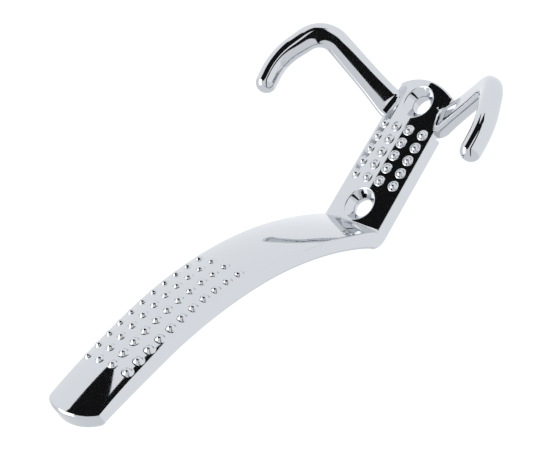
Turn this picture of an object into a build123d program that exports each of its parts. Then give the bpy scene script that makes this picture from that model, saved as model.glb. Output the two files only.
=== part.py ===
"""Wall coat-and-hat hook: a cast body with a long dimpled hat arm, and a bow with two short coat hooks.

Frame, in millimetres: the wall is the plane Y = 0 and the hook stands out of it towards -Y.
+Z is up in use, X = 0 is the plane of symmetry, and the origin is midway between the two screw holes.
"""
from build123d import *
from math import asin, cos, radians, sin, tan
import os

os.makedirs("parts", exist_ok=True)

# ---- back plate ----
HOLE_SPACING = 32.0
HOLE_DIAMETER = 5.2
COUNTERSINK_DIAMETER = 9.3
COUNTERSINK_ANGLE = 90
PLATE_THICKNESS = 5.4            # at the crown line, wall plane to crown
PLATE_CROWN_RADIUS = 40.4
PLATE_HALF_WIDTH_LOW = 9.15
PLATE_HALF_WIDTH_HIGH = 9.7      # where the hat arm begins
PLATE_BOTTOM = -22.6             # middle of the rounded lower end
PLATE_END_RADIUS = 18.2
PLATE_TOP = 24.0                 # inside the root of the hat arm
HEEL_LEVEL = 24.63               # where the back of the arm meets the wall plane
HEEL_ANGLE = 27.5                # slope of the arm's back there
HEEL_RADIUS = 4.5                # rounding of that edge

# ---- hollow back, which takes the bow ----
RECESS_DEPTH = 2.2
RIM_WIDTH = 1.7
RECESS_TOP = 20.0

# ---- hat arm: two tangent arcs along its crown line, opening out towards the tip ----
ARM_START = (0.42, 18.2)         # (Y, Z), just behind the wall plane
ARM_START_ANGLE = 26.4           # above the horizontal
ARM_ARCS = [(110.5, 38.1), (156.4, 15.45)]   # (radius, turn in degrees)
# Stations along the arm: fraction of its length, half-width, sag of the crown, height of the side wall
ARM_STATIONS = [
    (0.00, 9.70, 0.55, 5.10),
    (0.06, 9.90, 0.60, 4.70),
    (0.16, 10.35, 1.00, 4.10),
    (0.26, 10.45, 1.20, 4.00),
    (0.38, 10.20, 1.45, 4.15),
    (0.48, 9.80, 1.50, 4.70),
    (0.58, 9.40, 1.45, 5.25),
    (0.70, 9.20, 1.65, 5.15),
    (0.80, 9.20, 1.85, 4.85),
    (0.90, 9.20, 1.75, 4.35),
    (1.00, 9.20, 1.55, 3.70),
]
ARM_BACK_CORNER = 0.9            # rounding of the arm's two back edges
TIP_END_RADIUS = 15.0            # the tip is a shallow arc seen from the front
LONG = 200.0                     # longer than anything here, for cutting tools

# ---- domed bumps ----
BUMP_RADIUS = 1.55
BUMP_HEIGHT = 0.95
BUMP_SPHERE_RADIUS = (BUMP_RADIUS**2 + BUMP_HEIGHT**2) / (2 * BUMP_HEIGHT)
PLATE_BUMP_ROWS = 5
PLATE_BUMP_PITCH = (4.56, 3.97)  # across, along
PLATE_BUMP_CENTRE = 0.4          # Z of the middle row
ARM_BUMP_ROWS = 11
ARM_BUMP_PITCH = (4.85, 4.25)
ARM_FIRST_ROW = 55.2             # distance of the first row from the start of the crown line
BUMP_COLUMNS = 4
BUMP_TURN = (90, 0, 0)           # the balls' poles lie sideways, out of the crown's way

# ---- bow with the two coat hooks ----
BAR_HEIGHT = 6.0
BAR_LEVEL = -14.2                # Z of the bar's centre line
BAR_HALF_LENGTH = 8.0
NOTCH_HEIGHT = 9.1               # slot in the plate's sides that lets the bow in from the back
SHOULDER_START = 6.4             # X where the bow comes through the plate's side
SHOULDER_BEND = 9.0
SHOULDER_LEVEL = -13.2           # Z of the shoulder's centre line
SHOULDER_DEPTH = -2.45           # Y of the shoulder's centre line
EYE_RADIUS = 4.6
EYE_HOLE_RADIUS = 3.4
COAT_BEND = (30.8, -18.5, -23.3)
COAT_KNEE = (37.4, -20.9, -10.4)
COAT_TIP = (37.1, -20.4, -2.9)
COAT_RADII = [6.0, 6.5, 18.0]    # at the shoulder, the bend and the knee
# Stations along a coat hook: fraction of its length, width in the bend's plane, thickness across it
COAT_STATIONS = [
    (0.00, 8.8, 4.3),
    (0.20, 7.3, 3.9),
    (0.45, 6.8, 4.2),
    (0.65, 6.6, 5.4),
    (0.85, 6.1, 5.9),
    (1.00, 5.9, 5.9),
]
COAT_SECTIONS = 25
TIP_BALL_RADIUS = 2.97

# ---- rivets ----
RIVET_X = 5.2
RIVET_LEVEL = -13.4
RIVET_DIAMETER = 2.0
RIVET_HEAD_DIAMETER = 3.0
RIVET_HEAD_HEIGHT = 0.8
RIVET_GRIP = 1.4                 # from the recess floor into the skin

CLEARANCE = 0.05


def sag(radius, half_width):
    """How far a crown of this radius has fallen at the half-width."""
    return radius - radius * cos(asin(half_width / radius))


def between_stations(stations, fraction):
    """Sizes at this fraction of a length, in proportion between the two nearest stations."""
    for lower, upper in zip(stations, stations[1:]):
        if fraction <= upper[0]:
            break
    share = (fraction - lower[0]) / (upper[0] - lower[0])
    return [a + share * (b - a) for a, b in zip(lower[1:], upper[1:])]


def bump_centre(plane, x, crown_radius):
    """Centre of a bump's sphere, beside the crown line at the origin of a cross-section plane."""
    angle = asin(x / crown_radius)
    distance = crown_radius + BUMP_HEIGHT - BUMP_SPHERE_RADIUS
    return plane.from_local_coords((distance * sin(angle), crown_radius - distance * cos(angle), 0))


def bump_columns(pitch):
    """X of each column of bumps."""
    return [(column - (BUMP_COLUMNS - 1) / 2) * pitch for column in range(BUMP_COLUMNS)]


# ---- crown line of the hat arm, in the plane of symmetry ----
with BuildLine() as arm_line:
    start = Vector(0, *ARM_START)
    heading = Vector(0, -cos(radians(ARM_START_ANGLE)), sin(radians(ARM_START_ANGLE)))
    for arc_radius, arc_turn in ARM_ARCS:
        centre = start + heading.cross(Vector(1, 0, 0)) * arc_radius
        middle = (start - centre).rotate(Axis.X, -arc_turn / 2) + centre
        end = (start - centre).rotate(Axis.X, -arc_turn) + centre
        ThreePointArc(start, middle, end)
        start = end
        heading = heading.rotate(Axis.X, -arc_turn)
arm_path = arm_line.wires()[0]


def arm_plane(distance):
    """Cross-section plane this far along the crown line: local Y runs from the crown to the back."""
    return Plane(
        origin=arm_path.position_at(distance, position_mode=PositionMode.LENGTH),
        x_dir=(1, 0, 0),
        z_dir=arm_path.tangent_at(distance, position_mode=PositionMode.LENGTH),
    )


def arm_crown_radius(distance):
    """Radius of the arm's crown this far along."""
    half_width, crown_sag, side = between_stations(ARM_STATIONS, distance / arm_path.length)
    return (half_width**2 + crown_sag**2) / (2 * crown_sag)


# ---- hat arm, as one lofted bar ----
with BuildPart() as hat_arm:
    for fraction, half_width, crown_sag, side in ARM_STATIONS:
        with BuildSketch(arm_plane(fraction * arm_path.length)):
            depth = crown_sag + side
            corner = ARM_BACK_CORNER
            with BuildLine():
                ThreePointArc((-half_width, crown_sag), (0, 0), (half_width, crown_sag))
                Line((half_width, crown_sag), (half_width, depth - corner))
                RadiusArc((half_width, depth - corner), (half_width - corner, depth), -corner)
                Line((half_width - corner, depth), (corner - half_width, depth))
                RadiusArc((corner - half_width, depth), (-half_width, depth - corner), -corner)
                Line((-half_width, depth - corner), (-half_width, crown_sag))
            make_face()
    loft()

    # bumps, one row at a time
    for row in range(ARM_BUMP_ROWS):
        distance = ARM_FIRST_ROW + row * ARM_BUMP_PITCH[1]
        row_plane = arm_plane(distance)
        crown_radius = arm_crown_radius(distance)
        with Locations(*[bump_centre(row_plane, x, crown_radius) for x in bump_columns(ARM_BUMP_PITCH[0])]):
            Sphere(BUMP_SPHERE_RADIUS, rotation=BUMP_TURN)

    # the tip's end is a shallow arc seen from the front
    tip = arm_plane(arm_path.length)
    with BuildSketch(Plane(origin=tip.origin, x_dir=(1, 0, 0), z_dir=-tip.y_dir)):
        with Locations((0, -TIP_END_RADIUS)):
            Circle(TIP_END_RADIUS)
            Rectangle(LONG, LONG, align=(Align.CENTER, Align.MAX))
    extrude(amount=LONG, both=True, mode=Mode.INTERSECT)

# ---- bow: a bar across the hollow back, with a coat hook at each end ----
with BuildLine() as coat_line:
    FilletPolyline(
        (SHOULDER_START, SHOULDER_DEPTH, SHOULDER_LEVEL),
        (SHOULDER_BEND, SHOULDER_DEPTH, SHOULDER_LEVEL),
        COAT_BEND,
        COAT_KNEE,
        COAT_TIP,
        radius=COAT_RADII,
    )
coat_path = coat_line.wires()[0]
bend = Vector(*COAT_BEND)
bend_normal = (bend - Vector(SHOULDER_BEND, SHOULDER_DEPTH, SHOULDER_LEVEL)).cross(Vector(*COAT_KNEE) - bend)

with BuildPart() as double_coat_hook:
    for section in range(COAT_SECTIONS):
        fraction = section / (COAT_SECTIONS - 1)
        width, thickness = between_stations(COAT_STATIONS, fraction)
        tangent = coat_path % fraction
        section_plane = Plane(
            origin=coat_path @ fraction,
            x_dir=bend_normal.cross(tangent),
            z_dir=tangent,
        )
        with BuildSketch(section_plane):
            RectangleRounded(width, thickness, 0.42 * thickness)
    loft()
    with Locations(coat_path @ 1):
        Sphere(TIP_BALL_RADIUS)
    mirror(about=Plane.YZ)

    with BuildSketch(Plane.XZ):
        with Locations((0, BAR_LEVEL)):
            Rectangle(2 * BAR_HALF_LENGTH, BAR_HEIGHT)
        with Locations((0, -HOLE_SPACING / 2)):
            Circle(EYE_RADIUS)
            Circle(EYE_HOLE_RADIUS, mode=Mode.SUBTRACT)
    extrude(amount=RECESS_DEPTH - CLEARANCE)

    # seats for the two rivet heads, flush with the back
    with Locations(*[Location((x, 0, RIVET_LEVEL), (-90, 0, 0)) for x in (-RIVET_X, RIVET_X)]):
        CounterBoreHole(RIVET_DIAMETER / 2, RIVET_HEAD_DIAMETER / 2, RIVET_HEAD_HEIGHT)
double_coat_hook.part.label = "double_coat_hook"

# ---- hook body: back plate and hat arm in one casting ----
with BuildPart() as hook_body:
    with BuildSketch(Plane.XY.offset(PLATE_BOTTOM)):
        edge_y = -PLATE_THICKNESS + sag(PLATE_CROWN_RADIUS, PLATE_HALF_WIDTH_HIGH)
        with BuildLine():
            ThreePointArc(
                (-PLATE_HALF_WIDTH_HIGH, edge_y),
                (0, -PLATE_THICKNESS),
                (PLATE_HALF_WIDTH_HIGH, edge_y),
            )
            Polyline(
                (PLATE_HALF_WIDTH_HIGH, edge_y),
                (PLATE_HALF_WIDTH_HIGH, 0),
                (-PLATE_HALF_WIDTH_HIGH, 0),
                (-PLATE_HALF_WIDTH_HIGH, edge_y),
            )
        make_face()
    extrude(amount=PLATE_TOP - PLATE_BOTTOM)

    # front outline: sides that open slightly upwards, and an arc at the lower end
    with BuildSketch(Plane.XZ) as plate_outline:
        corner_z = PLATE_BOTTOM + sag(PLATE_END_RADIUS, PLATE_HALF_WIDTH_LOW)
        with BuildLine():
            ThreePointArc(
                (-PLATE_HALF_WIDTH_LOW, corner_z),
                (0, PLATE_BOTTOM),
                (PLATE_HALF_WIDTH_LOW, corner_z),
            )
            Polyline(
                (PLATE_HALF_WIDTH_LOW, corner_z),
                (PLATE_HALF_WIDTH_HIGH, PLATE_TOP),
                (-PLATE_HALF_WIDTH_HIGH, PLATE_TOP),
                (-PLATE_HALF_WIDTH_LOW, corner_z),
            )
        make_face()
    extrude(amount=2 * PLATE_THICKNESS, mode=Mode.INTERSECT)

    # the arm runs into the plate's upper end, and nothing passes the wall plane
    add(hat_arm.part)
    split(bisect_by=Plane.XZ)

    # rounded heel, where the back of the arm meets the wall plane
    with BuildSketch(Plane.YZ):
        reach = HEEL_RADIUS / tan(radians(90 + HEEL_ANGLE) / 2)
        wall_end = Vector(0, HEEL_LEVEL - reach)
        arm_end = Vector(0, HEEL_LEVEL) + Vector(-reach, 0).rotate(Axis.Z, -HEEL_ANGLE)
        with BuildLine():
            RadiusArc(arm_end, wall_end, HEEL_RADIUS)
            Polyline(
                wall_end,
                (HEEL_RADIUS, HEEL_LEVEL - reach),
                (HEEL_RADIUS, HEEL_LEVEL + HEEL_RADIUS),
                arm_end,
            )
        make_face()
    extrude(amount=LONG, both=True, mode=Mode.SUBTRACT)

    # hollow back
    with BuildSketch(Plane.XZ) as recess:
        add(plate_outline.sketch)
        offset(amount=-RIM_WIDTH)
        with Locations((0, RECESS_TOP)):
            Rectangle(LONG, LONG, align=(Align.CENTER, Align.MAX), mode=Mode.INTERSECT)
    extrude(amount=RECESS_DEPTH, mode=Mode.SUBTRACT)

    # bumps
    plate_bumps = []
    for row in range(PLATE_BUMP_ROWS):
        z = PLATE_BUMP_CENTRE + (row - (PLATE_BUMP_ROWS - 1) / 2) * PLATE_BUMP_PITCH[1]
        row_plane = Plane(origin=(0, -PLATE_THICKNESS, z), x_dir=(1, 0, 0), z_dir=(0, 0, 1))
        plate_bumps += [bump_centre(row_plane, x, PLATE_CROWN_RADIUS) for x in bump_columns(PLATE_BUMP_PITCH[0])]
    with Locations(*plate_bumps):
        Sphere(BUMP_SPHERE_RADIUS, rotation=BUMP_TURN)

    # slots that the bow's shoulders pass through
    for side in (-1, 1):
        with BuildSketch(Plane.XZ):
            with Locations((side * SHOULDER_START, SHOULDER_LEVEL)):
                Rectangle(
                    PLATE_HALF_WIDTH_LOW,
                    NOTCH_HEIGHT,
                    align=(Align.MIN if side > 0 else Align.MAX, Align.CENTER),
                )
        extrude(amount=-SHOULDER_DEPTH, mode=Mode.SUBTRACT)
    add(double_coat_hook.part, mode=Mode.SUBTRACT)

    # screw holes
    for z in (-HOLE_SPACING / 2, HOLE_SPACING / 2):
        with Locations(Plane(origin=(0, -PLATE_THICKNESS, z), x_dir=(1, 0, 0), z_dir=(0, -1, 0))):
            CounterSinkHole(
                HOLE_DIAMETER / 2,
                COUNTERSINK_DIAMETER / 2,
                counter_sink_angle=COUNTERSINK_ANGLE,
            )

    # blind holes for the rivets
    with Locations(*[Location((x, 0, RIVET_LEVEL), (-90, 0, 0)) for x in (-RIVET_X, RIVET_X)]):
        Hole(RIVET_DIAMETER / 2, depth=RECESS_DEPTH + RIVET_GRIP)
hook_body.part.label = "hook_body"

# ---- rivets that hold the bow in the body ----
with BuildPart() as bow_rivets:
    for x in (-RIVET_X, RIVET_X):
        with BuildSketch(Plane(origin=(x, 0, RIVET_LEVEL), x_dir=(1, 0, 0), z_dir=(0, -1, 0))):
            Circle(RIVET_HEAD_DIAMETER / 2)
        extrude(amount=RIVET_HEAD_HEIGHT)
        with BuildSketch(Plane(origin=(x, 0, RIVET_LEVEL), x_dir=(1, 0, 0), z_dir=(0, -1, 0))):
            Circle(RIVET_DIAMETER / 2)
        extrude(amount=RECESS_DEPTH + RIVET_GRIP)
bow_rivets.part.label = "bow_rivets"

export_step(hook_body.part, "parts/hook_body.step")
export_step(double_coat_hook.part, "parts/double_coat_hook.step")
export_step(bow_rivets.part, "parts/bow_rivets.step")
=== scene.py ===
"""The looks of a wall coat-and-hat hook: a polished chrome casting with domed bumps,
and its bow of coat hooks.

Sizes are in millimetres, as in the CAD source, and become metres where a mesh is made. The wall is the plane
Y = 0, the hook stands out towards -Y, +Z is up in use, and X = 0 is the plane of symmetry.
"""
from math import asin, atan2, ceil, cos, pi, radians, sin, sqrt, tan

import bmesh
import bpy
import numpy as np
from mathutils import Matrix, Vector


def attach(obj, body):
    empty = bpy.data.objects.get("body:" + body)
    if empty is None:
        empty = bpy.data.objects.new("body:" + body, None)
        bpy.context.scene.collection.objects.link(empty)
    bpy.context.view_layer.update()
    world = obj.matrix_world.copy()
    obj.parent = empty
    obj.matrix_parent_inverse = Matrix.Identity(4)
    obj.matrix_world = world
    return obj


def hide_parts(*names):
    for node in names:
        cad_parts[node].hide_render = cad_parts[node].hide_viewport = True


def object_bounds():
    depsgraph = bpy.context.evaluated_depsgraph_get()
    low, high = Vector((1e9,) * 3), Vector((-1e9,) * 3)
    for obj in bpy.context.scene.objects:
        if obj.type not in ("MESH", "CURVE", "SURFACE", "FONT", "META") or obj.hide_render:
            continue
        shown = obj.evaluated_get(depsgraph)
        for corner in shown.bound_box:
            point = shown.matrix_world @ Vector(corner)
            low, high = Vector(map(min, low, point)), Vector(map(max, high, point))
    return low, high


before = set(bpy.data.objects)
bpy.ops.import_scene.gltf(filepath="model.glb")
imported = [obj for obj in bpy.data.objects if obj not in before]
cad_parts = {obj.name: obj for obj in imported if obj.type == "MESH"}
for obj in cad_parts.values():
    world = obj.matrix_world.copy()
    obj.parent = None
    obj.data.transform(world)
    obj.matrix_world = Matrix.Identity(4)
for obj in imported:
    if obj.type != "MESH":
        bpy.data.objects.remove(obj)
cad_low, cad_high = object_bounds()
MM = 0.001

# ---- back plate ----
HOLE_LEVELS = (-16.0, 16.0)
HOLE_RADIUS = 2.6
COUNTERSINK_RADIUS = 4.65
PLATE_THICKNESS = 5.4
PLATE_CROWN_RADIUS = 40.4
PLATE_HALF_WIDTH_LOW = 9.15
PLATE_HALF_WIDTH_HIGH = 9.7
PLATE_BOTTOM = -22.6
PLATE_END_RADIUS = 18.2
PLATE_TOP = 24.0
PLATE_BACK_CORNER = 0.35
EDGE_ROUNDING = 0.3
RIM_ROUNDING = 0.16              # at the mouth of each countersink
RECESS_DEPTH = 2.2
RIM_WIDTH = 1.7
RECESS_TOP = 20.0
RECESS_CORNER = 0.6
RECESS_FILLET = 0.7

# ---- heel, where the arm's back meets the wall plane, and crease, where its front meets the plate ----
HEEL_LEVEL = 24.63
HEEL_ANGLE = 27.5
HEEL_RADIUS = 4.5
CREASE_RADIUS = 0.45

# ---- hat arm ----
ARM_START = (0.42, 18.2)
ARM_START_ANGLE = 26.4
ARM_ARCS = [(110.5, 38.1), (156.4, 15.45)]
# fraction of the arm's length, half-width, sag of the crown, height of the side wall
ARM_STATIONS = [
    (0.00, 9.70, 0.55, 5.10),
    (0.06, 9.90, 0.60, 4.70),
    (0.16, 10.35, 1.00, 4.10),
    (0.26, 10.45, 1.20, 4.00),
    (0.38, 10.20, 1.45, 4.15),
    (0.48, 9.80, 1.50, 4.70),
    (0.58, 9.40, 1.45, 5.25),
    (0.70, 9.20, 1.65, 5.15),
    (0.80, 9.20, 1.85, 4.85),
    (0.90, 9.20, 1.75, 4.35),
    (1.00, 9.20, 1.55, 3.70),
]
ARM_BACK_CORNER = 0.9
TIP_END_RADIUS = 15.0
TIP_ROUNDING = 1.0

# ---- domed bumps: a ball that flares into the crown ----
DOME_RADIUS = 1.35
FLARE_RADIUS = 0.65
FLARE_ANGLE = 55.0
PLATE_BUMP_ROWS = 5
PLATE_BUMP_PITCH = (4.56, 3.97)
PLATE_BUMP_CENTRE = 0.4
ARM_BUMP_ROWS = 11
ARM_BUMP_PITCH = (4.85, 4.25)
ARM_FIRST_ROW = 55.2
BUMP_COLUMNS = 4

# ---- bow with the two coat hooks ----
BAR_HEIGHT = 6.0
BAR_LEVEL = -14.2
BAR_HALF_LENGTH = 8.0
BAR_THICKNESS = 2.15
BAR_CORNER = 0.5
BAR_EDGE = 0.25                  # rounding of the bar's and the eye's edges
NOTCH_HEIGHT = 9.1
SHOULDER_START = 6.4
SHOULDER_BEND = 9.0
SHOULDER_DEPTH = -2.45
SHOULDER_LEVEL = -13.2
EYE_LEVEL = -16.0
EYE_RADIUS = 4.6
EYE_HOLE_RADIUS = 3.4
COAT_BEND = (30.8, -18.5, -23.3)
COAT_KNEE = (37.4, -20.9, -10.4)
COAT_TIP = (37.1, -20.4, -2.9)
COAT_RADII = [6.0, 6.5, 18.0]
# fraction of a coat hook's length, width in the bend's plane, thickness across it, squareness
COAT_STATIONS = [
    (0.00, 8.8, 4.3, 4.2),
    (0.20, 7.3, 3.9, 3.8),
    (0.45, 6.8, 4.2, 3.2),
    (0.65, 6.6, 5.4, 2.4),
    (0.85, 6.1, 5.9, 2.0),
    (1.00, 5.9, 5.9, 2.0),
]

# ---- rivets ----
RIVET_X = 5.2
RIVET_LEVEL = -13.4
RIVET_HEAD_RADIUS = 1.5
RIVET_HEAD_HEIGHT = 0.8
RIVET_SHANK_RADIUS = 1.0
RIVET_LENGTH = 3.6
RIVET_GAP = 0.02                 # round a head, in its seat
RIVET_EDGE = 0.25

# ---- fineness of the meshes ----
CELL_STEPS = 10                  # grid squares along each side of a bump's cell
HOLE_CELL_COLUMNS = 24
HOLE_CELL_ROWS = 20
HOLE_CELL_MARGIN = 0.75          # from a countersink's rim to the edge of its cell
EYE_STEPS = 96
COLUMNS = BUMP_COLUMNS * CELL_STEPS
SMALL = 0.01
GUARD = 0.12                     # band beside a rounding that keeps a flat end flat
SHARP_ANGLE = 35.0
OVERSHOOT = 1.0                  # of a cutting tool past the surface


# ================================================================ small geometry helpers
def smooth_between(stations, fraction):
    """Sizes at this fraction of a length, on a smooth curve through the stations."""
    table = np.array(stations, float)
    at, sizes = table[:, 0], table[:, 1:]
    slopes = np.gradient(sizes, at, axis=0)
    lower = int(np.clip(np.searchsorted(at, fraction) - 1, 0, len(at) - 2))
    span = at[lower + 1] - at[lower]
    t = (fraction - at[lower]) / span
    return (
        (2 * t**3 - 3 * t**2 + 1) * sizes[lower]
        + (t**3 - 2 * t**2 + t) * span * slopes[lower]
        + (3 * t**2 - 2 * t**3) * sizes[lower + 1]
        + (t**3 - t**2) * span * slopes[lower + 1]
    )


def sag(radius, offset):
    """How far an arc of this radius has fallen at this distance from its middle."""
    return radius - sqrt(radius * radius - offset * offset)


def unit(vector):
    """The vector at length 1."""
    return vector / np.linalg.norm(vector)


def turned(vector, angle):
    """A vector in the (Y, Z) plane turned from +Y towards +Z by this angle."""
    return np.array([
        vector[0] * cos(angle) - vector[1] * sin(angle),
        vector[0] * sin(angle) + vector[1] * cos(angle),
    ])


class Skin:
    """Points and faces of one closed mesh. Points that patches share are merged when the mesh is made."""

    def __init__(self):
        self.points = []
        self.faces = []

    def add(self, points):
        """Adds points and returns their numbers."""
        first = len(self.points)
        self.points += [tuple(p) for p in points]
        return list(range(first, len(self.points)))

    def bridge(self, ring_a, ring_b, closed=True):
        """Quads between two rows of the same number of points."""
        count = len(ring_a)
        for k in range(count if closed else count - 1):
            n = (k + 1) % count
            self.faces.append((ring_a[k], ring_a[n], ring_b[n], ring_b[k]))

    def fan(self, ring, middle):
        """Triangles from a ring to its middle point."""
        for k in range(len(ring)):
            self.faces.append((ring[k], ring[(k + 1) % len(ring)], middle))

    def tube(self, rings):
        """A closed tube through the rings, with a flat fan at each end."""
        numbered = [self.add(ring) for ring in rings]
        for ring_a, ring_b in zip(numbered, numbered[1:]):
            self.bridge(ring_a, ring_b)
        for ring, numbers in ((rings[0], numbered[0]), (rings[-1], numbered[-1])):
            middle, = self.add([np.mean(np.array(ring, float), axis=0)])
            self.fan(numbers, middle)
        return self

    def piece(self, name, *materials):
        """The Blender object, in metres, with clean outward faces."""
        mesh = bpy.data.meshes.new(name)
        mesh.from_pydata([[c * MM for c in p] for p in self.points], [], self.faces)
        work = bmesh.new()
        work.from_mesh(mesh)
        bmesh.ops.remove_doubles(work, verts=work.verts, dist=0.001 * MM)
        bmesh.ops.dissolve_degenerate(work, edges=work.edges, dist=0.0005 * MM)
        bmesh.ops.recalc_face_normals(work, faces=work.faces)
        work.to_mesh(mesh)
        work.free()
        made = bpy.data.objects.new(name, mesh)
        bpy.context.scene.collection.objects.link(made)
        for material in materials:
            mesh.materials.append(material)
        return made


def combine(base, operation, *tools):
    """Cuts the tools from the base, or joins them to it, and removes them."""
    for tool in tools:
        change = base.modifiers.new(operation, "BOOLEAN")
        change.operation = operation
        change.solver = "MANIFOLD"
        change.object = tool
    bpy.context.view_layer.update()
    shaped = base.evaluated_get(bpy.context.evaluated_depsgraph_get())
    mesh = bpy.data.meshes.new_from_object(shaped)
    base.modifiers.clear()
    base.data = mesh
    for tool in tools:
        bpy.data.objects.remove(tool)


def shade(made):
    """Smooth faces with crisp edges where the surface really turns."""
    made.data.shade_smooth()
    made.data.set_sharp_from_angle(angle=radians(SHARP_ANGLE))


def prism(name, outline, low, high, rounding=0.0, steps=4):
    """A closed prism along Y over an outline of (x, z) points, with both ends' edges rounded."""
    points = np.array(outline, float)
    ahead = np.roll(points, -1, axis=0) - points
    behind = points - np.roll(points, 1, axis=0)
    ahead /= np.linalg.norm(ahead, axis=1)[:, None]
    behind /= np.linalg.norm(behind, axis=1)[:, None]
    inward = np.stack([-(ahead + behind)[:, 1], (ahead + behind)[:, 0]], axis=1)
    inward /= (1 + (ahead * behind).sum(axis=1))[:, None]
    levels = [(low, 0.0), (high, 0.0)]
    if rounding:
        turns = [radians(90) * k / steps for k in range(steps + 1)]
        start = [(low + rounding * (1 - sin(a)), rounding * (1 - cos(a))) for a in reversed(turns)]
        end = [(high - rounding * (1 - sin(a)), rounding * (1 - cos(a))) for a in turns]
        levels = [(low, rounding + GUARD)] + start + end + [(high, rounding + GUARD)]
    rings = []
    for y, inset in levels:
        rings.append([(x, y, z) for x, z in points + inset * inward])
    return Skin().tube(rings).piece(name)


def revolved(name, profile, x, z, count=64):
    """A closed body of revolution about a line along Y. Its profile is (radius, y) points, end to end."""
    rings = []
    for radius, y in profile:
        rings.append([
            (x + radius * cos(2 * pi * k / count), y, z + radius * sin(2 * pi * k / count))
            for k in range(count)
        ])
    return Skin().tube(rings).piece(name)


def rounded_outline(corners, radius, steps=6):
    """An anticlockwise polygon with its corners rounded."""
    outline = []
    count = len(corners)
    for k in range(count):
        here = np.array(corners[k], float)
        before = unit(np.array(corners[k - 1], float) - here)
        after = unit(np.array(corners[(k + 1) % count], float) - here)
        half = 0.5 * np.arccos(np.clip(before @ after, -1, 1))
        reach = radius / tan(half)
        centre = here + unit(before + after) * radius / sin(half)
        start = here + before * reach - centre
        turn = pi - 2 * half
        for step in range(steps + 1):
            angle = turn * step / steps
            outline.append((
                centre[0] + start[0] * cos(angle) - start[1] * sin(angle),
                centre[1] + start[0] * sin(angle) + start[1] * cos(angle),
            ))
    return outline


# ================================================================ the hat arm's crown line
def arm_frame(distance):
    """Point on the crown line in (Y, Z), the heading there, and the way in from crown to back."""
    point = np.array(ARM_START)
    heading = np.array([-cos(radians(ARM_START_ANGLE)), sin(radians(ARM_START_ANGLE))])
    for radius, turn in ARM_ARCS:
        to_back = turned(heading, -pi / 2)
        centre = point + to_back * radius
        angle = min(distance / radius, radians(turn))
        point = centre - turned(to_back, -angle) * radius
        heading = turned(heading, -angle)
        distance -= angle * radius
    to_back = turned(heading, -pi / 2)
    return point + heading * distance, heading, to_back


ARM_LENGTH = sum(radius * radians(turn) for radius, turn in ARM_ARCS)


class Row:
    """One cross-section of the body: where its crown is, which way in is, and where its back is."""

    def __init__(self, front, inward, back, half_width, edge_sag, back_corner, slide=None):
        self.front = np.array(front)
        self.inward = np.array(inward)
        self.back = np.array(back)
        self.half_width = half_width
        self.crown_radius = (half_width**2 + edge_sag**2) / (2 * edge_sag)
        self.back_corner = back_corner
        self.depth = np.linalg.norm(self.back - self.front)
        self.bow = self.back - self.front - self.inward * self.depth
        self.slide = slide or (lambda x: (0.0, 0.0))

    def place(self, x, depth):
        """The point at this x, this far in from the crown line."""
        share = depth / self.depth
        yz = self.front + self.inward * depth + self.bow * share**2 + self.slide(x)
        return (x, yz[0], yz[1])

    def crown(self, x, height=0.0):
        """The point on the crown at this x, or this high above it."""
        tilt = asin(x / self.crown_radius)
        base = self.place(x, sag(self.crown_radius, x))
        lift = -cos(tilt) * self.inward * height
        return (base[0] + sin(tilt) * height, base[1] + lift[0], base[2] + lift[1])

    def front_edge(self, inset=0.0):
        """Half the width of the crown, up to where its edge rounding starts."""
        width = self.half_width - inset
        rounding = max(EDGE_ROUNDING - inset, SMALL)
        return width - rounding * (1 - width / self.crown_radius)

    def ring(self, inset=0.0):
        """The whole cross-section: the crown, a side, the back and the other side."""
        width = self.half_width - inset
        rounding = max(EDGE_ROUNDING - inset, SMALL)
        corner = max(self.back_corner - inset, SMALL)
        edge = self.front_edge(inset)
        slope = asin(edge / self.crown_radius)
        turn_x = edge - rounding * sin(slope)
        turn_depth = sag(self.crown_radius, edge) + inset + rounding * cos(slope)
        wall_end = self.depth - inset - corner
        side = []
        for k in range(1, 5):
            angle = slope + (pi / 2 - slope) * k / 4
            side.append((turn_x + rounding * sin(angle), turn_depth - rounding * cos(angle)))
        for k in range(1, 5):
            side.append((width, turn_depth + (wall_end - turn_depth) * k / 4))
        for k in range(1, 4):
            angle = pi / 2 * k / 4
            side.append((width - corner * (1 - cos(angle)), wall_end + corner * sin(angle)))
        spread = np.linspace(-1, 1, COLUMNS + 1)
        front = [self.place(u * edge, sag(self.crown_radius, u * edge) + inset) for u in spread]
        back = [self.place(u * (width - corner), self.depth - inset) for u in spread[::-1]]
        right = [self.place(x, depth) for x, depth in side]
        left = [self.place(-x, depth) for x, depth in reversed(side)]
        return front, right, back, left


def plate_row(z, end_share=0.0):
    """Cross-section of the plate. Near the lower end it takes a share of the end's arc."""
    rise = (z - PLATE_BOTTOM) / (PLATE_TOP - PLATE_BOTTOM)
    half_width = PLATE_HALF_WIDTH_LOW + rise * (PLATE_HALF_WIDTH_HIGH - PLATE_HALF_WIDTH_LOW)
    return Row(
        front=(-PLATE_THICKNESS, z),
        inward=(1.0, 0.0),
        back=(0.0, z),
        half_width=half_width,
        edge_sag=sag(PLATE_CROWN_RADIUS, half_width),
        back_corner=PLATE_BACK_CORNER,
        slide=lambda x: (0.0, end_share * sag(PLATE_END_RADIUS, x)),
    )


def arm_row(distance, end_share=0.0):
    """Cross-section of the arm. Near the tip it takes a share of the tip's arc."""
    point, heading, to_back = arm_frame(distance)
    half_width, edge_sag, side = smooth_between(ARM_STATIONS, distance / ARM_LENGTH)
    return Row(
        front=point,
        inward=to_back,
        back=point + to_back * (edge_sag + side),
        half_width=half_width,
        edge_sag=edge_sag,
        back_corner=ARM_BACK_CORNER,
        slide=lambda x: -heading * end_share * sag(TIP_END_RADIUS, x),
    )


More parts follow.
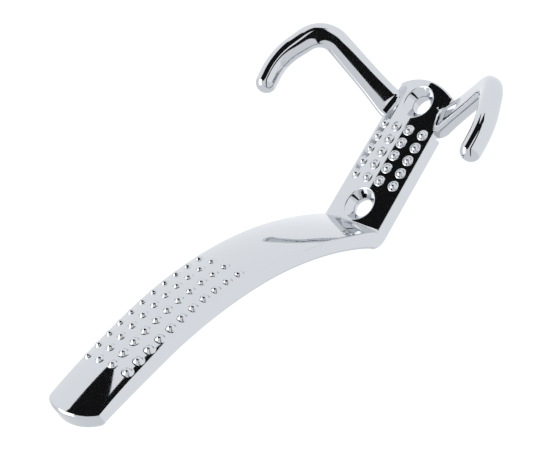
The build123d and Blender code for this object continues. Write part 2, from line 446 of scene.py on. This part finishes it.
def heel_rows(count):
    """Cross-sections that turn from the plate to the arm: the crease in front, the heel at the back."""
    distance = 0.0
    while arm_frame(distance)[0][0] > -PLATE_THICKNESS:
        distance += SMALL
    crease, heading, to_back = arm_frame(distance)
    turn = atan2(to_back[1], to_back[0])
    reach = CREASE_RADIUS * tan(turn / 2)
    below = plate_row(crease[1] - reach)
    above = arm_row(distance + reach)
    centre = below.front - np.array([CREASE_RADIUS, 0.0])

    heel_reach = HEEL_RADIUS / tan(radians(90 + HEEL_ANGLE) / 2)
    heel_start = np.array([0.0, HEEL_LEVEL - heel_reach])
    heel_centre = heel_start - np.array([HEEL_RADIUS, 0.0])
    heel_turn = radians(90 - HEEL_ANGLE)
    route = [below.back]
    route += [heel_centre + HEEL_RADIUS * turned((1.0, 0.0), heel_turn * k / 12) for k in range(13)]
    route.append(above.back)
    run = np.concatenate([[0.0], np.cumsum(np.linalg.norm(np.diff(route, axis=0), axis=1))])
    route = np.array(route)

    rows = []
    for k in range(1, count):
        share = k / count
        angle = turn * share
        along = run[-1] * share
        rows.append(Row(
            front=centre + CREASE_RADIUS * turned((1.0, 0.0), angle),
            inward=turned((1.0, 0.0), angle),
            back=(np.interp(along, run, route[:, 0]), np.interp(along, run, route[:, 1])),
            half_width=below.half_width + share * (above.half_width - below.half_width),
            edge_sag=(1 - share) * sag(below.crown_radius, below.half_width)
            + share * sag(above.crown_radius, above.half_width),
            back_corner=below.back_corner + share * (above.back_corner - below.back_corner),
        ))
    return crease[1] - reach, rows, distance + reach


# ================================================================ cells of the crown
def bump_profile():
    """(distance from the bump's middle, height) from the foot of its flare to just short of its top."""
    angle = radians(FLARE_ANGLE)
    foot = (DOME_RADIUS + FLARE_RADIUS) * sin(angle)
    height = (DOME_RADIUS + FLARE_RADIUS) * (1 - cos(angle))
    flare = [
        (foot - FLARE_RADIUS * sin(angle * k / 5), FLARE_RADIUS * (1 - cos(angle * k / 5)))
        for k in range(6)
    ]
    dome = [
        (DOME_RADIUS * sin(angle * (1 - k / 8)), height - DOME_RADIUS * (1 - cos(angle * (1 - k / 8))))
        for k in range(1, 8)
    ]
    return flare + dome, height


def bump_cell(skin, border, places, row_at, x, along):
    """Fills a cell of the crown with one domed bump. places are the border's (x, distance along)."""
    profile, height = bump_profile()
    angles = [atan2(v - along, u - x) for u, v in places]
    foot = profile[0][0]
    rings = [border]
    for share in (0.3, 0.6, 0.85):
        rings.append(skin.add([
            row_at(v + share * (along + foot * sin(a) - v)).crown(u + share * (x + foot * cos(a) - u))
            for (u, v), a in zip(places, angles)
        ]))
    for radius, lift in profile:
        rings.append(skin.add([
            row_at(along + radius * sin(a)).crown(x + radius * cos(a), lift) for a in angles
        ]))
    for ring_a, ring_b in zip(rings, rings[1:]):
        skin.bridge(ring_a, ring_b)
    top, = skin.add([row_at(along).crown(x, height)])
    skin.fan(rings[-1], top)


def eased(start, corner, end, steps=4):
    """A small rounding between two surfaces that meet at a corner."""
    start, corner, end = (np.array(p, float) for p in (start, corner, end))
    made = []
    for k in range(steps + 1):
        t = k / steps
        made.append((1 - t) ** 2 * start + 2 * t * (1 - t) * corner + t * t * end)
    return made


def hole_cell(skin, border, places, level):
    """Fills a cell of the plate with a countersunk hole, closed at the bottom inside the recess."""
    angles = [atan2(z - level, x) for x, z in places]
    columns = []
    for (x, z), a in zip(places, angles):
        mouth = COUNTERSINK_RADIUS
        for _ in range(4):
            mouth = COUNTERSINK_RADIUS - sag(PLATE_CROWN_RADIUS, mouth * cos(a))
        outer = mouth + RIM_ROUNDING
        profile = eased(
            (outer, sag(PLATE_CROWN_RADIUS, outer * cos(a))),
            (mouth, COUNTERSINK_RADIUS - mouth),
            (mouth - RIM_ROUNDING, COUNTERSINK_RADIUS - mouth + RIM_ROUNDING),
        )
        neck = COUNTERSINK_RADIUS - HOLE_RADIUS
        profile += eased(
            (HOLE_RADIUS + RIM_ROUNDING, neck - RIM_ROUNDING),
            (HOLE_RADIUS, neck),
            (HOLE_RADIUS, neck + RIM_ROUNDING),
        )
        profile.append((HOLE_RADIUS, PLATE_THICKNESS - RECESS_DEPTH / 2))
        middle_x = (x + outer * cos(a)) / 2
        middle_z = (z + level + outer * sin(a)) / 2
        column = [(middle_x, -PLATE_THICKNESS + sag(PLATE_CROWN_RADIUS, middle_x), middle_z)]
        for radius, depth in profile:
            column.append((radius * cos(a), -PLATE_THICKNESS + depth, level + radius * sin(a)))
        columns.append(column)
    rings = [border] + [skin.add(ring) for ring in zip(*columns)]
    for ring_a, ring_b in zip(rings, rings[1:]):
        skin.bridge(ring_a, ring_b)
    middle, = skin.add([(0.0, -RECESS_DEPTH / 2, level)])
    skin.fan(rings[-1], middle)


# ================================================================ hook body
def spaced(start, end, step):
    """Evenly spaced values from start up to, but without, end."""
    count = max(1, ceil(abs(end - start) / step))
    return [start + (end - start) * k / count for k in range(count)]


def end_cap(skin, numbered, depths):
    """Closes an end of the body with a grid between its front, its back and its two sides."""
    front, right, back, left = numbered
    back = back[::-1]
    left = left[::-1]
    lines = [front]
    for k, share in enumerate(depths):
        middle = []
        for i in range(1, COLUMNS):
            a = np.array(skin.points[front[i]])
            b = np.array(skin.points[back[i]])
            middle.append(a + (b - a) * share)
        lines.append([left[k]] + skin.add(middle) + [right[k]])
    lines.append(back)
    for line_a, line_b in zip(lines, lines[1:]):
        skin.bridge(line_a, line_b, closed=False)


def build_body(chrome, cast):
    """The casting: plate, heel and arm as one skin, then the hollow back and the slots for the bow."""
    skin = Skin()
    crease_level, turning, arm_begin = heel_rows(14)
    rows = []       # (row, inset)
    marks = {}      # row number where each cell field begins

    end_fade = HOLE_LEVELS[0] + COUNTERSINK_RADIUS + HOLE_CELL_MARGIN

    def end_share(z):
        return max(0.0, (end_fade - z) / (end_fade - PLATE_BOTTOM))

    # lower end, with its edge rounded
    for k in range(4, 0, -1):
        angle = radians(90) * k / 4
        z = PLATE_BOTTOM + EDGE_ROUNDING * (1 - sin(angle))
        rows.append((plate_row(z, 1.0), EDGE_ROUNDING * (1 - cos(angle))))
    low_start = HOLE_LEVELS[0] - COUNTERSINK_RADIUS - HOLE_CELL_MARGIN
    for z in spaced(PLATE_BOTTOM + EDGE_ROUNDING, low_start, 0.5):
        rows.append((plate_row(z, end_share(z)), 0.0))
    marks["low_hole"] = len(rows)
    for z in spaced(low_start, end_fade, (end_fade - low_start) / HOLE_CELL_ROWS):
        rows.append((plate_row(z, end_share(z)), 0.0))
    field = PLATE_BUMP_ROWS * PLATE_BUMP_PITCH[1]
    bumps_start = PLATE_BUMP_CENTRE - field / 2
    for z in spaced(end_fade, bumps_start, 0.6):
        rows.append((plate_row(z), 0.0))
    marks["plate_bumps"] = len(rows)
    for z in spaced(bumps_start, bumps_start + field, PLATE_BUMP_PITCH[1] / CELL_STEPS):
        rows.append((plate_row(z), 0.0))
    high_start = HOLE_LEVELS[1] - COUNTERSINK_RADIUS - HOLE_CELL_MARGIN
    for z in spaced(bumps_start + field, high_start, 0.6):
        rows.append((plate_row(z), 0.0))
    marks["high_hole"] = len(rows)
    for z in spaced(high_start, crease_level, (crease_level - high_start) / HOLE_CELL_ROWS):
        rows.append((plate_row(z), 0.0))
    rows.append((plate_row(crease_level), 0.0))

    rows += [(row, 0.0) for row in turning]

    # arm
    field = ARM_BUMP_ROWS * ARM_BUMP_PITCH[1]
    bumps_begin = ARM_FIRST_ROW - ARM_BUMP_PITCH[1] / 2
    for distance in spaced(arm_begin, bumps_begin, 1.0):
        rows.append((arm_row(distance), 0.0))
    marks["arm_bumps"] = len(rows)
    for distance in spaced(bumps_begin, bumps_begin + field, ARM_BUMP_PITCH[1] / CELL_STEPS):
        rows.append((arm_row(distance), 0.0))
    tip_start = bumps_begin + field
    for distance in spaced(tip_start, ARM_LENGTH - TIP_ROUNDING, 0.9):
        share = (distance - tip_start) / (ARM_LENGTH - TIP_ROUNDING - tip_start)
        rows.append((arm_row(distance, share), 0.0))
    for k in range(9):
        angle = radians(90) * k / 8
        distance = ARM_LENGTH - TIP_ROUNDING * (1 - sin(angle))
        rows.append((arm_row(distance, 1.0), TIP_ROUNDING * (1 - cos(angle))))

    numbered = []
    for row, inset in rows:
        numbered.append([skin.add(part) for part in row.ring(inset)])

    # cells: (first row, rows, first column, columns) and how to fill them
    cells = []
    first_column = (COLUMNS - HOLE_CELL_COLUMNS) // 2
    for mark, level in zip(("low_hole", "high_hole"), HOLE_LEVELS):
        cells.append((marks[mark], HOLE_CELL_ROWS, first_column, HOLE_CELL_COLUMNS, level, None, None))
    for mark, count, pitch, first, row_at in (
        ("plate_bumps", PLATE_BUMP_ROWS, PLATE_BUMP_PITCH, bumps_start, plate_row),
        ("arm_bumps", ARM_BUMP_ROWS, ARM_BUMP_PITCH, bumps_begin, arm_row),
    ):
        for i in range(count):
            for j in range(BUMP_COLUMNS):
                along = first + (i + 0.5) * pitch[1]
                x = (j - (BUMP_COLUMNS - 1) / 2) * pitch[0]
                start = marks[mark] + i * CELL_STEPS
                cells.append((start, CELL_STEPS, j * CELL_STEPS, CELL_STEPS, along, x, row_at))

    taken = set()
    for start, tall, column, wide, *_ in cells:
        taken |= {(r, c) for r in range(start, start + tall) for c in range(column, column + wide)}
    for r in range(len(rows) - 1):
        (front_a, right_a, back_a, left_a), (front_b, right_b, back_b, left_b) = numbered[r], numbered[r + 1]
        for c in range(COLUMNS):
            if (r, c) not in taken:
                skin.faces.append((front_a[c], front_a[c + 1], front_b[c + 1], front_b[c]))
        around_a = [front_a[-1]] + right_a + back_a + left_a + [front_a[0]]
        around_b = [front_b[-1]] + right_b + back_b + left_b + [front_b[0]]
        skin.bridge(around_a, around_b, closed=False)

    for start, tall, column, wide, along, x, row_at in cells:
        loop = [(start, column + c) for c in range(wide)]
        loop += [(start + r, column + wide) for r in range(tall)]
        loop += [(start + tall, column + wide - c) for c in range(wide)]
        loop += [(start + tall - r, column) for r in range(tall)]
        border = [numbered[r][0][c] for r, c in loop]
        if row_at is None:
            places = [(skin.points[n][0], skin.points[n][2]) for n in border]
            hole_cell(skin, border, places, along)
        else:
            pitch = ARM_BUMP_PITCH if row_at is arm_row else PLATE_BUMP_PITCH
            places = [
                (skin.points[n][0], along + ((r - start) / tall - 0.5) * pitch[1])
                for n, (r, c) in zip(border, loop)
            ]
            bump_cell(skin, border, places, row_at, x, along)

    for which in (0, -1):
        row, inset = rows[which]
        side = row.ring(inset)[1]
        start, end = np.array(row.ring(inset)[0][-1]), np.array(row.ring(inset)[2][0])
        way = end - start
        way[0] = 0.0
        depths = [float(np.dot(np.array(p) - start, way) / np.dot(way, way)) for p in side]
        end_cap(skin, numbered[which], depths)

    body = skin.piece("hook_body_casting", chrome, cast)

    # hollow back with a rounded floor, and a slot on each side for the bow's shoulders
    low = PLATE_HALF_WIDTH_LOW - RIM_WIDTH
    high = PLATE_HALF_WIDTH_HIGH - RIM_WIDTH
    floor_end = PLATE_BOTTOM + RIM_WIDTH
    corners = [(high, RECESS_TOP), (-high, RECESS_TOP)]
    inner_radius = PLATE_END_RADIUS - RIM_WIDTH
    for k in range(9):
        x = -low + 2 * low * k / 8
        corners.append((x, floor_end + sag(inner_radius, x)))
    outline = rounded_outline(corners, RECESS_CORNER)
    recess = prism("recess", outline, -RECESS_DEPTH, RECESS_DEPTH, RECESS_FILLET)
    slots = []
    for side in (-1, 1):
        x_in, x_out = SHOULDER_START * side, 2 * PLATE_HALF_WIDTH_HIGH * side
        bottom, top = SHOULDER_LEVEL - NOTCH_HEIGHT / 2, SHOULDER_LEVEL + NOTCH_HEIGHT / 2
        box = [(x_in, bottom), (x_out, bottom), (x_out, top), (x_in, top)]
        slots.append(prism("slot", box[::side], SHOULDER_DEPTH, RECESS_DEPTH, 0.0))
    combine(body, "DIFFERENCE", recess, *slots)
    for face in body.data.polygons:
        x, y, z = face.center / MM
        inner_end = floor_end + sag(inner_radius, min(abs(x), low))
        deep = -RECESS_DEPTH - SMALL < y < -SMALL
        if deep and abs(x) < high + SMALL and inner_end - RIM_WIDTH / 2 < z < RECESS_TOP + SMALL:
            face.material_index = 1
    shade(body)
    return body


# ================================================================ bow
def filleted_route(corners, radii, step):
    """Points and headings along straight runs joined by tangent arcs."""
    corners = [np.array(c, float) for c in corners]
    points, headings = [], []
    here = corners[0]
    for k, radius in enumerate(radii, start=1):
        before = unit(corners[k] - corners[k - 1])
        after = unit(corners[k + 1] - corners[k])
        turn = np.arccos(np.clip(before @ after, -1, 1))
        reach = radius * tan(turn / 2)
        start = corners[k] - before * reach
        run = np.linalg.norm(start - here)
        for d in spaced(0.0, run, step):
            points.append(here + before * d)
            headings.append(before)
        to_centre = unit(after - before * (after @ before))
        for a in spaced(0.0, turn, step / radius):
            points.append(start + before * radius * sin(a) + to_centre * radius * (1 - cos(a)))
            headings.append(before * cos(a) + to_centre * sin(a))
        here = corners[k] + after * reach
    last = unit(corners[-1] - corners[-2])
    run = np.linalg.norm(corners[-1] - here)
    for d in spaced(0.0, run, step) + [run]:
        points.append(here + last * d)
        headings.append(last)
    return np.array(points), np.array(headings)


def coat_section(centre, across, through, width, thickness, squareness, count=56):
    """A ring with flat faces and round corners: a superellipse."""
    ring = []
    for k in range(count):
        angle = 2 * pi * (k + 0.5) / count
        c, s = cos(angle), sin(angle)
        size = (abs(c) ** squareness + abs(s) ** squareness) ** (-1 / squareness)
        ring.append(centre + across * (width / 2 * size * c) + through * (thickness / 2 * size * s))
    return ring


def coat_hook(side):
    """One coat hook, from inside the plate to its ball end."""
    corners = [
        (SHOULDER_START, SHOULDER_DEPTH, SHOULDER_LEVEL),
        (SHOULDER_BEND, SHOULDER_DEPTH, SHOULDER_LEVEL),
        COAT_BEND,
        COAT_KNEE,
        COAT_TIP,
    ]
    points, headings = filleted_route(corners, COAT_RADII, 0.45)
    bend_normal = np.cross(np.subtract(COAT_BEND, corners[1]), np.subtract(COAT_KNEE, COAT_BEND))
    run = np.concatenate([[0.0], np.cumsum(np.linalg.norm(np.diff(points, axis=0), axis=1))])
    rings = []
    for point, heading, along in zip(points, headings, run / run[-1]):
        across = unit(np.cross(bend_normal, heading))
        through = np.cross(heading, across)
        rings.append(coat_section(point, across, through, *smooth_between(COAT_STATIONS, along)))
    ball = COAT_STATIONS[-1][1] / 2
    for k in range(1, 10):
        angle = radians(90) * k / 10
        centre = points[-1] + headings[-1] * ball * sin(angle)
        size = 2 * ball * cos(angle)
        rings.append(coat_section(centre, across, through, size, size, COAT_STATIONS[-1][3]))
    rings = [[(side * p[0], p[1], p[2]) for p in ring] for ring in rings]
    return Skin().tube(rings).piece("coat_hook")


def build_bow(chrome):
    """The bar in the hollow back, its eye round the lower screw hole, and both coat hooks."""
    half = BAR_HEIGHT / 2
    box = [
        (-BAR_HALF_LENGTH, BAR_LEVEL - half),
        (BAR_HALF_LENGTH, BAR_LEVEL - half),
        (BAR_HALF_LENGTH, BAR_LEVEL + half),
        (-BAR_HALF_LENGTH, BAR_LEVEL + half),
    ]
    bow = prism("double_coat_hook_bow", rounded_outline(box, BAR_CORNER), -BAR_THICKNESS, 0.0, BAR_EDGE)
    bow.data.materials.append(chrome)
    turns = [2 * pi * k / EYE_STEPS for k in range(EYE_STEPS)]
    circle = [(EYE_RADIUS * cos(a), EYE_LEVEL + EYE_RADIUS * sin(a)) for a in turns]
    eye = prism("eye", circle, -BAR_THICKNESS, 0.0, BAR_EDGE)
    combine(bow, "UNION", eye, coat_hook(-1), coat_hook(1))
    opening = revolved(
        "opening",
        [(EYE_HOLE_RADIUS, -BAR_THICKNESS - OVERSHOOT), (EYE_HOLE_RADIUS, OVERSHOOT)],
        0.0,
        EYE_LEVEL,
        EYE_STEPS,
    )
    seat_profile = [(RIVET_HEAD_RADIUS, -RIVET_HEAD_HEIGHT), (RIVET_HEAD_RADIUS, OVERSHOOT)]
    seats = [revolved("seat", seat_profile, x, RIVET_LEVEL) for x in (-RIVET_X, RIVET_X)]
    combine(bow, "DIFFERENCE", opening, *seats)
    shade(bow)
    return bow


def build_rivets(steel):
    """Two rivets with slightly domed, peened heads that finish level with the wall plane."""
    rivets = None
    head = RIVET_HEAD_RADIUS - RIVET_GAP
    for x in (-RIVET_X, RIVET_X):
        profile = [(RIVET_SHANK_RADIUS, -RIVET_LENGTH), (RIVET_SHANK_RADIUS, -RIVET_HEAD_HEIGHT)]
        profile += [(head, -RIVET_HEAD_HEIGHT), (head, -2 * RIVET_EDGE)]
        for k in range(1, 7):
            angle = radians(90) * k / 7
            profile.append((head - RIVET_EDGE * (1 - cos(angle)), -2 * RIVET_EDGE + RIVET_EDGE * sin(angle)))
        for share in (0.8, 0.6, 0.4, 0.2, 0.05):
            profile.append(((RIVET_HEAD_RADIUS - RIVET_EDGE) * share, -RIVET_EDGE * share**2))
        rivet = revolved("bow_rivet_heads", profile, x, RIVET_LEVEL)
        if rivets is None:
            rivets = rivet
            rivets.data.materials.append(steel)
        else:
            combine(rivets, "UNION", rivet)
    shade(rivets)
    return rivets


# ================================================================ materials
def metal(name, colour, rough_low, rough_high, patch_size, wave_height, wave_size):
    """Metal whose roughness drifts in soft patches, on a faintly wavy surface. Sizes are in millimetres."""
    material = bpy.data.materials.new(name)
    material.use_nodes = True
    nodes, links = material.node_tree.nodes, material.node_tree.links
    shader = nodes["Principled BSDF"]
    shader.inputs["Base Color"].default_value = (*colour, 1.0)
    shader.inputs["Metallic"].default_value = 1.0
    where = nodes.new("ShaderNodeTexCoord")

    patches = nodes.new("ShaderNodeTexNoise")
    patches.inputs["Scale"].default_value = 1 / (patch_size * MM)
    patches.inputs["Detail"].default_value = 6.0
    patches.inputs["Roughness"].default_value = 0.6
    links.new(where.outputs["Object"], patches.inputs["Vector"])
    spread = nodes.new("ShaderNodeMapRange")
    spread.inputs["From Min"].default_value = 0.35
    spread.inputs["From Max"].default_value = 0.7
    spread.inputs["To Min"].default_value = rough_low
    spread.inputs["To Max"].default_value = rough_high
    links.new(patches.outputs["Fac"], spread.inputs["Value"])
    links.new(spread.outputs["Result"], shader.inputs["Roughness"])

    waves = nodes.new("ShaderNodeTexNoise")
    waves.inputs["Scale"].default_value = 1 / (wave_size * MM)
    waves.inputs["Detail"].default_value = 2.0
    links.new(where.outputs["Object"], waves.inputs["Vector"])
    bump = nodes.new("ShaderNodeBump")
    bump.inputs["Strength"].default_value = 1.0
    bump.inputs["Distance"].default_value = wave_height * MM
    links.new(waves.outputs["Fac"], bump.inputs["Height"])
    links.new(bump.outputs["Normal"], shader.inputs["Normal"])
    return material


# ================================================================ studio
def card(name, centre, facing, width, height, colour, strength=0.0):
    """A flat, evenly coloured card that may glow."""
    mesh = bpy.data.meshes.new(name)
    made = bpy.data.objects.new(name, mesh)
    work = bmesh.new()
    bmesh.ops.create_grid(work, x_segments=2, y_segments=2, size=0.5)
    work.to_mesh(mesh)
    work.free()
    bpy.context.scene.collection.objects.link(made)
    made.scale = (width, height, 1.0)
    made.location = centre
    made.rotation_mode = "QUATERNION"
    made.rotation_quaternion = Vector(facing).to_track_quat("Z", "Y")
    material = bpy.data.materials.new(name)
    material.use_nodes = True
    shader = material.node_tree.nodes["Principled BSDF"]
    shader.inputs["Base Color"].default_value = (*colour, 1.0)
    shader.inputs["Roughness"].default_value = 1.0
    shader.inputs["Specular IOR Level"].default_value = 0.0
    shader.inputs["Emission Color"].default_value = (1.0, 1.0, 1.0, 1.0)
    shader.inputs["Emission Strength"].default_value = strength
    mesh.materials.append(material)
    return made


AZIMUTH = -42.0                  # of the camera round the object
ELEVATION = 11.3
ROLL = 149.8                     # the hook is seen upside down
DISTANCE = 1.052
AIM_OFFSET = (0.018, 0.0216, -0.012)   # from the middle of the object's box
FOCAL_LENGTH = 259.0
SENSOR_WIDTH = 36.0
FLOOR_DROP = 0.25
FLOOR_SIZE = 40.0
FLOOR_COLOUR = (0.93, 0.93, 0.93)
FLOOR_GLOW = 0.25
SURROUND_COLOUR = (0.95, 0.975, 1.0, 1.0)
SURROUND_STRENGTH = 0.95
CARD_DISTANCE = 0.5
# name, way from the object and way of its long edge, both as seen from the camera (right, up, back),
# shift along and across that edge, length, width, grey, glow
CARDS = [
    ("dark_card", (-0.365, 0.837, 0.406), (0.83, 0.50, -0.25), (-0.19, 0.005), 0.37, 0.475, 0.01, 0.0),
    ("dark_edge_card", (-0.365, 0.837, 0.406), (0.83, 0.50, -0.25), (0.085, 0.135), 0.18, 0.22, 0.01, 0.0),
    ("dark_strip", (-0.06, 0.0, 1.0), (0.0, 1.0, 0.0), (0.0, 0.0), 1.60, 0.10, 0.01, 0.0),
    ("left_box", (-0.90, 0.10, 0.20), (0.0, 1.0, 0.0), (0.0, 0.0), 0.50, 0.30, 0.9, 1.5),
    ("right_box", (0.45, 0.85, -0.25), (1.0, 0.0, 0.0), (0.0, 0.0), 0.40, 0.25, 0.9, 1.5),
]


def build_camera():
    """The camera, at the height and side that the hook is seen from."""
    a, e, roll = radians(AZIMUTH), radians(ELEVATION), radians(ROLL)
    back = Vector((sin(a) * cos(e), -cos(a) * cos(e), sin(e)))
    level_up = (Vector((0, 0, 1)) - back * back.z).normalized()
    level_right = level_up.cross(back)
    up = level_up * cos(roll) + level_right * sin(roll)
    right = up.cross(back)
    aim = (cad_low + cad_high) / 2 + Vector(AIM_OFFSET)
    lens = bpy.data.cameras.new("camera")
    lens.lens = FOCAL_LENGTH
    lens.sensor_width = SENSOR_WIDTH
    lens.clip_end = 50.0
    camera = bpy.data.objects.new("camera", lens)
    bpy.context.scene.collection.objects.link(camera)
    turn = Matrix((right, up, back)).transposed()
    camera.matrix_world = Matrix.Translation(aim + back * DISTANCE) @ turn.to_4x4()
    bpy.context.scene.camera = camera


def camera_way(right, up, back):
    """A direction in the row frame, from its share to the camera's right, up and back."""
    turn = bpy.context.scene.camera.matrix_world.to_3x3()
    return (turn @ Vector((right, up, back))).normalized()


def build_studio():
    """A pale floor and surround, with soft boxes and dark cards that only reflections see."""
    middle = (cad_low + cad_high) / 2
    card(
        "floor",
        (middle.x, middle.y, cad_low.z - FLOOR_DROP),
        (0, 0, 1),
        FLOOR_SIZE,
        FLOOR_SIZE,
        FLOOR_COLOUR,
        FLOOR_GLOW,
    )
    world = bpy.data.worlds.new("surround")
    world.use_nodes = True
    nodes = world.node_tree.nodes
    nodes["Background"].inputs["Color"].default_value = SURROUND_COLOUR
    nodes["Background"].inputs["Strength"].default_value = SURROUND_STRENGTH
    bpy.context.scene.world = world
    for name, way, edge, shift, length, width, grey, strength in CARDS:
        facing = -camera_way(*way)
        along = camera_way(*edge)
        along = (along - facing * along.dot(facing)).normalized()
        across = facing.cross(along)
        centre = middle - facing * CARD_DISTANCE + along * shift[0] + across * shift[1]
        made = card(name, centre, facing, length, width, (grey, grey, grey), strength)
        made.rotation_quaternion = Matrix((along, across, facing)).transposed().to_quaternion()
        made.visible_camera = False
        made.visible_diffuse = False
        made.visible_shadow = False
    bpy.context.scene.view_settings.view_transform = "Standard"


build_camera()
chrome = metal(
    "chrome",
    (0.60, 0.615, 0.64),
    rough_low=0.03,
    rough_high=0.07,
    patch_size=6.0,
    wave_height=0.0006,
    wave_size=3.0,
)
cast_chrome = metal(
    "chrome_over_rough_casting",
    (0.62, 0.63, 0.65),
    rough_low=0.25,
    rough_high=0.4,
    patch_size=1.2,
    wave_height=0.02,
    wave_size=0.35,
)
steel = metal(
    "rivet_steel",
    (0.55, 0.54, 0.53),
    rough_low=0.22,
    rough_high=0.38,
    patch_size=0.8,
    wave_height=0.004,
    wave_size=0.25,
)

body = build_body(chrome, cast_chrome)
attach(body, "root")
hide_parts("hook_body")

bow = build_bow(chrome)
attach(bow, "root")
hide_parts("double_coat_hook")

rivets = build_rivets(steel)
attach(rivets, "root")
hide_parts("bow_rivets")

build_studio()
